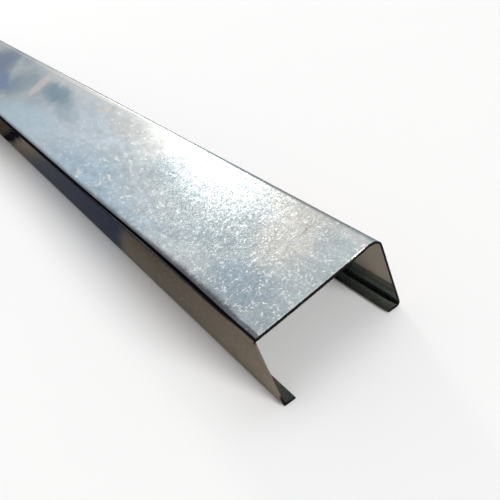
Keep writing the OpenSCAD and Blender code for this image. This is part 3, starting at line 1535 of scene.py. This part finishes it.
        # Painted light on the lips and on the inner bottoms of the flanges, darker at the front lip's cut
        # end as painted shade.
        front = g.mix(at.by_end(size.shelf_change), size.front_shelf, size.front_shelf_far)
        low = g.product(g.ramp(at.height, size.shelf_height), at.inner)
        shelved = g.mix(low, base, g.mix(at.front, size.shelf, front))
        # Painted shade in a band above the back lip, on the inside.
        dark_band = g.product(g.ramp(at.height, *size.dark_band), at.inner, at.back)
        dark_banded = g.mix(dark_band, shelved, self.finish.edges.cut_steel_and_shade)
        return g.vector("SCALE", dark_banded, g.sum(g.product(shade, size.shade), 1.0 - size.shade / 2))

    def metal(self) -> Socket:
        """Tells how much of the zinc shines, less where the dark painted reflections are.

        Returns:
            1 on the zinc, less under the dark painted reflections of the matt bands.
        """
        g = self.g
        covers = [(share, band.matt) for share, band in zip(self.shares, self.finish.flanges.bands)
                  if band.matt > 0.0]
        return g.product(*(g.rest(g.product(share, matt)) for share, matt in covers))

    def roughness(self) -> Socket:
        """Makes the roughness, which changes from grain to grain.

        Returns:
            The roughness.
        """
        g, at, size = self.g, self.at, self.finish.spangle
        uneven = g.product(g.minus(g.split(self.cells)[1], 0.5), at.by_end(size.even))
        rough = g.sum(g.product(g.sum(uneven, 0.5), g.between(at.outer, *size.spread)), size.roughness,
                      g.product(self.bend_shade_share, self.finish.bends.grey_rough))
        return g.most(rough, g.product(at.cut, self.finish.edges.roughness))

    def tint(self) -> Socket:
        """Makes the tint of what the sheet mirrors at a low angle.

        Returns:
            The tint.
        """
        g, size = self.g, self.finish.flanges
        # The painted reflections also set how the flanges dim what they mirror at a low angle.
        clean = g.mix(self.in_warm_reflection, size.dark_zinc_tint, size.warm_reflection_tint)
        wall = self.banded(self.shaded(clean), [band.tint for band in size.bands])
        skin = g.mix(g.product(self.on_flange, self.at.outer), self.finish.web.tint, wall)
        # The painted shade on the front bend also dims what it mirrors.
        dull = g.product(self.turning, self.finish.bends.turning_dull)
        # The painted dark line and the painted shade on the front bend mirror nothing at a low angle.
        return g.mix(g.most(self.line, dull), skin, BLACK)

    def normal(self) -> Socket:
        """Leans each grain's normal its own way: most only a little, a few by much more.

        Returns:
            The shading normal.
        """
        g, at, size = self.g, self.at, self.finish.spangle
        plain = g.most(self.on_flange, at.inner)
        centred = g.vector("SUBTRACT", self.cells, MIDDLE)
        reach = g.vector("LENGTH", centred)
        most = g.product(reach, reach, g.between(plain, size.tilt, size.plain_tilt), at.by_end(size.level))
        lean = g.vector("SCALE", g.vector("NORMALIZE", centred), most)
        ridge = g.product(self.strokes, size.stroke_tilt, g.rest(plain), at.by_end(size.calm))
        flick = at.wander(size.swirl / size.fibre, ridge)
        true_normal = g.node("ShaderNodeNewGeometry").outputs["Normal"]
        return g.vector("NORMALIZE", g.vector("ADD", true_normal, g.vector("ADD", lean, flick)))


@dataclass(frozen=True)
class FlatPattern:
    """How the sheet is laid out flat in a UV map: its skins in rows, its sheared edges in thin strips.

    Attributes:
        name: The map's name.
        breaks: Where along the stud a row starts or ends, as shares of its length.
        gap: The gap round a row or strip, as a share of the map.
        strip: Height of a strip, as a share of the map.
        strips: How many strips there are: the two cut ends and the two free edges.
        outer_web: How much height the web's outer skin gets for its width, against the other stretches.
        outer_wall: The same for the outer skin of the bends, flanges and lips.
        inner_web: The same for the inner skin of the web.
        inner_wall: The same for the inner skin of the bends, flanges and lips.
        same: How close two developed distances are that count as one, in metres.
        digits: To how many digits a ring's place along the stud is told.
    """

    name: str = "OFBake"
    breaks: tuple[float, ...] = (0.0, 0.375, 0.75, 1.0)
    gap: float = 0.004
    strip: float = 0.004
    strips: int = 4
    outer_web: float = 1.45
    outer_wall: float = 1.1
    inner_web: float = 0.2
    inner_wall: float = 0.9
    same: float = 1e-6
    digits: int = 5


class FlatSheet:
    """The stud's mesh, told as places on the developed sheet and laid out by a flat pattern.

    Attributes:
        pattern: The pattern.
        girth: Each point's developed distance from the middle of the web.
        outer: Whether each point is on the outer skin.
        along: Each point's place along the stud.
        knots: Developed distances: one free edge, the starts of both upper bends, the other free edge.
        low: Where the stud starts.
        length: How long it is.
        starts: Where each row starts along it, and where the last one ends.
        stacks: How high each knot stands in a row, on the outer skin (True) and on the inner one (False).
        scale: How much of the map's height one unit of that is.
        bases: Where each row starts in the map, by its number and its skin.
        top: Where the strips start in the map.
        wide: How much of the map's width a row takes.
    """

    def __init__(self, mesh: bpy.types.Mesh, section: StudSection, pattern: FlatPattern) -> None:
        """Develops the sheet and shares out the map.

        Args:
            mesh: The stud's mesh, whose points carry girth and skin.
            section: The stud's section.
            pattern: The pattern.
        """
        self.pattern = pattern
        self.girth = [d.value for d in mesh.attributes["girth"].data]
        self.outer = [d.value > 0 for d in mesh.attributes["skin"].data]
        self.along = [v.co.x for v in mesh.vertices]
        stations = section.stations()
        self.knots = [stations[0].girth, -section.bend_start(section.front),
                      section.bend_start(section.back), stations[-1].girth]
        rings = sorted({round(x, pattern.digits) for x, g in zip(self.along, self.girth) if g == 0.0})
        self.low, self.length = rings[0], rings[-1] - rings[0]
        self.starts = [min(rings, key=lambda x: abs(x - self.low - share * self.length))
                       for share in pattern.breaks]
        self.stacks = {True: self.stacked(pattern.outer_web, pattern.outer_wall),
                       False: self.stacked(pattern.inner_web, pattern.inner_wall)}
        rows = len(self.starts) - 1
        room = 1.0 - pattern.strips * (pattern.strip + pattern.gap) - (2 * rows + 1) * pattern.gap
        self.scale = room / (rows * (self.stacks[True][-1] + self.stacks[False][-1]))
        self.bases: dict[tuple[int, bool], float] = {}
        self.top = pattern.gap
        for row in range(rows):
            for skin in (True, False):
                self.bases[row, skin] = self.top
                self.top += self.stacks[skin][-1] * self.scale + pattern.gap
        self.wide = 1.0 - 2 * pattern.gap

    def stacked(self, web: float, wall: float) -> list[float]:
        """Stacks the stretches between knots, each as high as its width times its weight.

        Args:
            web: The web's weight.
            wall: The weight of what is past the upper bends.

        Returns:
            How high each knot stands, from 0.
        """
        knots = self.knots
        first = (knots[1] - knots[0]) * wall
        middle = first + (knots[2] - knots[1]) * web
        return [0.0, first, middle, middle + (knots[3] - knots[2]) * wall]

    def level(self, girth: float, stack: list[float]) -> float:
        """Looks up how high a developed distance stands in a row.

        Args:
            girth: The developed distance.
            stack: How high each knot stands in that row.

        Returns:
            The height.
        """
        knots = self.knots
        i = 0 if girth < knots[1] else 1 if girth < knots[2] else 2
        share = (girth - knots[i]) / (knots[i + 1] - knots[i])
        return stack[i] + share * (stack[i + 1] - stack[i])

    def in_row(self, corners: list[int]) -> list[float]:
        """Lays out one face of a skin.

        Args:
            corners: The face's points.

        Returns:
            Where each corner is in the map, as one flat list.
        """
        skin = self.outer[corners[0]]
        stack = self.stacks[skin]
        middle = sum(self.along[v] for v in corners) / len(corners)
        row = sum(middle > x for x in self.starts[1:-1])
        start, run = self.starts[row], self.starts[row + 1] - self.starts[row]
        spots: list[float] = []
        for v in corners:
            level = self.level(self.girth[v], stack)
            up = level if skin else stack[-1] - level
            spots += [self.pattern.gap + self.wide * (self.along[v] - start) / run,
                      self.bases[row, skin] + up * self.scale]
        return spots

    def in_strip(self, corners: list[int]) -> list[float]:
        """Lays out one face of a cut end or of a free edge.

        Args:
            corners: The face's points.

        Returns:
            Where each corner is in the map, as one flat list.
        """
        size, first, last = self.pattern, self.knots[0], self.knots[-1]
        around = [self.girth[v] for v in corners]
        slit = max(around) - min(around) < size.same
        far = (around[0] > 0) if slit else (self.along[corners[0]] < 0)
        base = self.top + (2 * int(not slit) + int(far)) * (size.strip + size.gap)
        spots: list[float] = []
        for v, girth in zip(corners, around):
            share = (self.along[v] - self.low) / self.length if slit else (girth - first) / (last - first)
            across = 1.0 - share if far and not slit else share
            up = float(self.outer[v] != (far and slit))
            spots += [size.gap + self.wide * across, base + size.strip * up]
        return spots

    def lay(self, mesh: bpy.types.Mesh) -> None:
        """Adds the map to the mesh.

        Args:
            mesh: The stud's mesh.
        """
        spots: list[float] = []
        for face in mesh.polygons:
            corners = list(face.vertices)
            one_skin = len({self.outer[v] for v in corners}) == 1
            spots += self.in_row(corners) if one_skin else self.in_strip(corners)
        mesh.uv_layers.new(name=self.pattern.name).data.foreach_set("uv", spots)


@dataclass
class Stud:
    """The stud's visible sheet.

    Attributes:
        section: Sizes of its section.
        slack: How far it strays from them.
        finish: Its surface.
        pattern: How it is laid out flat for its UV map.
        length: Its length, in metres.
        stations: How many rings the sweep has.
        crowding: How strongly the rings crowd towards the ends.
        sharp: The smallest angle at which an edge shades sharp, in degrees.
    """

    section: StudSection
    length: float
    slack: SheetSlack = field(default_factory=SheetSlack)
    finish: GalvanisedFinish = field(default_factory=GalvanisedFinish)
    pattern: FlatPattern = field(default_factory=FlatPattern)
    stations: int = 181
    crowding: float = 2.6
    sharp: float = 40.0

    def build(self) -> bpy.types.Object:
        """Sweeps the sheet and turns the result into a plain mesh.

        Returns:
            The stud as one closed mesh object at the origin.
        """
        section, slack = self.section, self.slack
        maker = section.slice("stud_section")
        sweep = SheetSweep("stud_sweep", slack)
        sweep.apply(maker, {
            "Length": self.length, "Stations": self.stations, "End Crowding": self.crowding,
            "Pivot Y": section.bend_start(section.front),
            "Pivot Z": section.flange_depth - section.front.bend_radius,
            "Front Lean": slack.front_lean, "Back Lean": slack.back_lean,
            "Lip Pivot Y": section.web_width / 2 - section.front.lip_bend_radius,
            "Lip Pivot Z": section.front.lip_bend_radius, "Lip Sag": slack.lip_sag,
            "Lean Run": slack.lean_run,
            "Web Wave": slack.web_wave, "Flange Wave": slack.flange_wave, "Wave Length": slack.wave_length,
            "End Bump": slack.end_bump, "Bump Centre": section.web_width * slack.bump_centre,
            "Bump Width": section.web_width * slack.bump_width, "End Reach": slack.end_reach,
            "Cut Rag": slack.cut_rag,
            "Sheet Half": max(abs(s.girth) for s in section.stations()), "Line Reach": slack.line_reach,
            "Material": GalvanisedMaterial("galvanised_sheet", self.finish, self.length, section).made,
        })
        depsgraph = bpy.context.evaluated_depsgraph_get()
        mesh = bpy.data.meshes.new_from_object(maker.evaluated_get(depsgraph))
        mesh.name = "stud_sheet"
        bpy.data.objects.remove(maker)
        piece = bpy.data.objects.new("stud_sheet", mesh)
        bpy.context.scene.collection.objects.link(piece)
        self.close(mesh)
        self.mark_cuts(mesh)
        FlatSheet(mesh, section, self.pattern).lay(mesh)
        return piece

    def close(self, mesh: bpy.types.Mesh) -> None:
        """Turns the faces outwards and shades the bends smooth.

        Args:
            mesh: The stud's mesh.
        """
        work = bmesh.new()
        work.from_mesh(mesh)
        bmesh.ops.recalc_face_normals(work, faces=work.faces)
        work.to_mesh(mesh)
        work.free()
        mesh.shade_smooth()
        mesh.set_sharp_from_angle(angle=math.radians(self.sharp))

    def mark_cuts(self, mesh: bpy.types.Mesh) -> None:
        """Gives each face a cut value: 1 where the steel was sheared or slit, 0 on the zinc.

        Args:
            mesh: The stud's mesh.
        """
        skin = mesh.attributes["skin"].data
        marks = [float(len({skin[v].value > 0 for v in face.vertices}) == 2) for face in mesh.polygons]
        mesh.attributes.new("cut", "FLOAT", "FACE").data.foreach_set("value", marks)


class LampKind(Enum):
    """What sort of lamp it is."""

    DISC = "AREA"
    SKY = "SUN"


@dataclass(frozen=True)
class Lamp:
    """A soft lamp that faces the stud.

    Attributes:
        name: The lamp's name.
        kind: A disc close by, or a wide patch of far sky.
        azimuth: Its direction from the stud, in degrees from +X towards +Y.
        elevation: Its height above the floor, in degrees.
        spread: How wide it looks from the stud, in degrees.
        light: The light that falls on a surface facing it, in watts per square metre.
        colour: Its colour.
        distance: How far off it hangs, in metres.
    """

    name: str
    kind: LampKind
    azimuth: float
    elevation: float
    spread: float
    light: float
    colour: Colour = (1.0, 1.0, 1.0)
    distance: float = 3.0

    def hang(self, focus: Vector) -> None:
        """Hangs the lamp so that it faces a point.

        Args:
            focus: The point that it faces.
        """
        data = bpy.data.lights.new(self.name, self.kind.value)
        data.color = self.colour
        if self.kind is LampKind.DISC:
            data.shape = "DISK"
            data.size = 2.0 * self.distance * math.tan(math.radians(self.spread / 2))
            data.energy = self.light * math.pi * self.distance**2
        else:
            data.angle = math.radians(self.spread)
            data.energy = self.light
        azimuth, elevation = math.radians(self.azimuth), math.radians(self.elevation)
        level = math.cos(elevation)
        way = Vector((math.cos(azimuth) * level, math.sin(azimuth) * level, math.sin(elevation)))
        made = bpy.data.objects.new(self.name, data)
        made.location = focus + way * self.distance
        made.rotation_euler = way.to_track_quat("Z", "Y").to_euler()
        bpy.context.scene.collection.objects.link(made)


@dataclass(frozen=True)
class Studio:
    """A pale floor, soft lamps and a plain bright surround.

    Attributes:
        section: The stud's section, which the view is set out from.
        length: The stud's length.
        floor_drop: How far the floor is under the stud, so that the two don't share a plane.
        floor_size: Length of the floor's sides.
        floor_colour: Colour of the floor by the stud.
        white: Colour of the surround and of the floor far from the stud.
        ambient: How strongly the surround lights things.
        fade: How far from the stud the floor starts to go plain white, and where it is white.
        focus: How far from the near end the point is that the lamps face.
        eye: Where the camera stands, from the middle of the near end's foot.
        target: The point that it looks at, from there.
        roll: How far it is rolled, in degrees.
        lens: Its focal length, in millimetres.
        sensor: Width of its sensor, in millimetres.
        reach: The closest and the farthest that it sees.
        lamps: The lamps.
    """

    section: StudSection
    length: float
    floor_drop: float = 0.6 * MM
    floor_size: float = 60.0
    floor_colour: Colour = (0.9, 0.9, 0.9)
    white: Colour = (1.0, 1.0, 1.0)
    ambient: float = 0.42
    fade: tuple[float, float] = (0.25, 1.3)
    focus: float = 0.1
    eye: tuple[float, float, float] = (0.1921, -0.0844, 0.2437)
    target: tuple[float, float, float] = (-0.0506, -0.0033, 0.045)
    roll: float = -26.63
    lens: float = 46.86
    sensor: float = 36.0
    reach: tuple[float, float] = (0.01, 200.0)
    lamps: tuple[Lamp, ...] = (
        Lamp("glint_lamp", LampKind.DISC, azimuth=158.3, elevation=23.4, spread=6.5, light=0.39,
             colour=(1.0, 0.95, 0.88)),
        Lamp("main_lamp", LampKind.SKY, azimuth=12.0, elevation=23.0, spread=20.0, light=3.3),
        Lamp("high_lamp", LampKind.SKY, azimuth=100.0, elevation=68.0, spread=40.0, light=0.65),
    )

    def camera(self) -> None:
        """Looks down on the near end of the stud, with the camera rolled as it was held."""
        end = Vector((self.length / 2, 0.0, 0.0))
        eye, target = end + Vector(self.eye), end + Vector(self.target)
        data = bpy.data.cameras.new("camera")
        data.lens = self.lens
        data.sensor_width = self.sensor
        data.clip_start, data.clip_end = self.reach
        made = bpy.data.objects.new("camera", data)
        look = (target - eye).to_track_quat("-Z", "Y").to_matrix().to_4x4()
        roll = Matrix.Rotation(math.radians(self.roll), 4, "Z")
        made.matrix_world = Matrix.Translation(eye) @ look @ roll
        bpy.context.scene.collection.objects.link(made)
        bpy.context.scene.camera = made

    def floor(self) -> None:
        """Lays a wide pale floor under the stud."""
        half, low = self.floor_size / 2, -self.floor_drop
        mesh = bpy.data.meshes.new("floor")
        corners = [(x * half, y * half, low) for x, y in ((-1, -1), (1, -1), (1, 1), (-1, 1))]
        mesh.from_pydata(corners, [], [(0, 1, 2, 3)])
        made = bpy.data.objects.new("floor", mesh)
        bpy.context.scene.collection.objects.link(made)
        paint = bpy.data.materials.new("floor_paint")
        paint.use_nodes = True
        g = Graph(paint.node_tree)
        matt = g.node("ShaderNodeBsdfDiffuse", {"Color": self.floor_colour})
        glow = g.node("ShaderNodeEmission", {"Color": self.white, "Strength": 1.0})
        x, y, _ = g.split(g.node("ShaderNodeTexCoord").outputs["Object"])
        beyond = g.most(g.minus(g.math("ABSOLUTE", x), self.length / 2), 0.0)
        clear = g.remap(g.vector("LENGTH", g.combine(beyond, y)), *self.fade)
        shown = g.node("ShaderNodeMixShader",
                       {0: g.product(clear, self.seen(g)), 1: matt.outputs[0], 2: glow.outputs[0]})
        g.node("ShaderNodeOutputMaterial", {"Surface": shown.outputs[0]})
        mesh.materials.append(paint)

    def seen(self, g: Graph) -> Socket:
        """Tells the rays that see a surface, straight or in a mirror, from those that light one.

        Args:
            g: The material's or the world's graph.

        Returns:
            1 for a ray that sees, 0 for one that lights.
        """
        path = g.node("ShaderNodeLightPath").outputs
        return g.most(*(path[f"Is {kind} Ray"] for kind in ("Camera", "Glossy", "Transmission")))

    def surround(self) -> None:
        """Makes the surround: plain white where it is seen or mirrored, softer where it lights."""
        world = bpy.data.worlds.new("surround")
        bpy.context.scene.world = world
        world.use_nodes = True
        g = Graph(world.node_tree)
        strength = g.between(self.seen(g), self.ambient, 1.0)
        back = g.node("ShaderNodeBackground", {"Color": self.white, "Strength": strength})
        g.node("ShaderNodeOutputWorld", {"Surface": back.outputs[0]})

    def build(self) -> None:
        """Sets up the camera, the floor, the lamps and the surround."""
        self.camera()
        self.floor()
        focus = Vector((self.length / 2 - self.focus, 0.0, self.section.flange_depth))
        for lamp in self.lamps:
            lamp.hang(focus)
        self.surround()
        bpy.context.scene.view_settings.view_transform = "Standard"


def main() -> None:
    """Builds the stud and its studio and ties the piece to the frame."""
    low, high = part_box("c_stud")
    section = StudSection(web_width=high.y - low.y, flange_depth=high.z - low.z)
    length = high.x - low.x
    Studio(section, length).build()
    stud = Stud(section, length).build()
    LOG.info("%s: %d faces", stud.name, len(stud.data.polygons))
    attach(stud, "root")
    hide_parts("c_stud")


if __name__ == "__main__":
    logging.basicConfig(level=logging.INFO, format="%(message)s")
    main()
